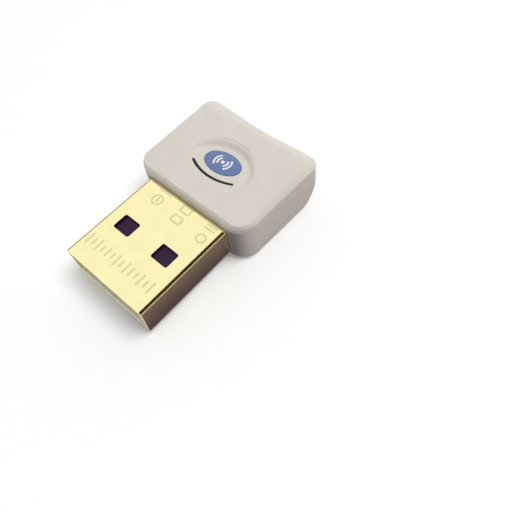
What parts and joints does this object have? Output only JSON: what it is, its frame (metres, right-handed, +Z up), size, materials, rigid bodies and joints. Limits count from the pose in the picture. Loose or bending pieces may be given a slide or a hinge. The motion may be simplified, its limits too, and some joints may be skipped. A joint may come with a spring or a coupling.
{
  "type": "usb wireless adapter",
  "caption": "Short USB stick adapter: gold-coloured stamped plug with latch windows, and a rounded off-white housing with a dished oval badge over a small circuit board.",
  "frame": {"origin": "under the middle of the whole stick, on the plane of the housing's flat underside", "axes": "+X across the stick to the right seen from the housing's end, +Y from the plug's tip towards the housing's back, +Z up through the badge"},
  "size_m": [0.0172, 0.0256, 0.0065],
  "materials": {
    "housing": "satin moulded, warm off-white",
    "badge": "printed blue oval under clear lacquer",
    "smoked_plastic": "smoked clear plastic, looks black when unlit",
    "gold_plate": "bright pale gold plating over stamped steel",
    "insulator": "dark moulded, slightly glossy",
    "contacts": "gold flashed strip",
    "solder": "bright solder",
    "board": "green lacquered glass fibre",
    "chip_plastic": "black moulding compound",
    "can_metal": "drawn nickel lid",
    "ceramic_body": "fired ceramic with tinned ends",
    "light_lens": "clear moulded lens on a white base",
    "capacitor_body": "fired tan ceramic with tinned ends"
  },
  "bodies": {
    "root": {"housing_top": "housing", "housing_bottom": "housing", "badge": "badge", "light_guide": "smoked_plastic", "plug_shell": "gold_plate", "plug_insulator": "insulator", "contact_vbus": "contacts", "contact_data_minus": "contacts", "contact_data_plus": "contacts", "contact_ground": "contacts", "contact_solder": "solder", "leg_solder": "solder", "circuit_board": "board", "radio_chip": "chip_plastic", "crystal": "can_metal", "antenna": "ceramic_body", "matching_coil": "ceramic_body", "status_light": "light_lens", "resistors": "chip_plastic", "capacitors": "capacitor_body", "ferrite_bead": "chip_plastic", "voltage_regulator": "chip_plastic", "memory_chip": "chip_plastic", "surge_protector": "chip_plastic"}
  },
  "joints": []
}
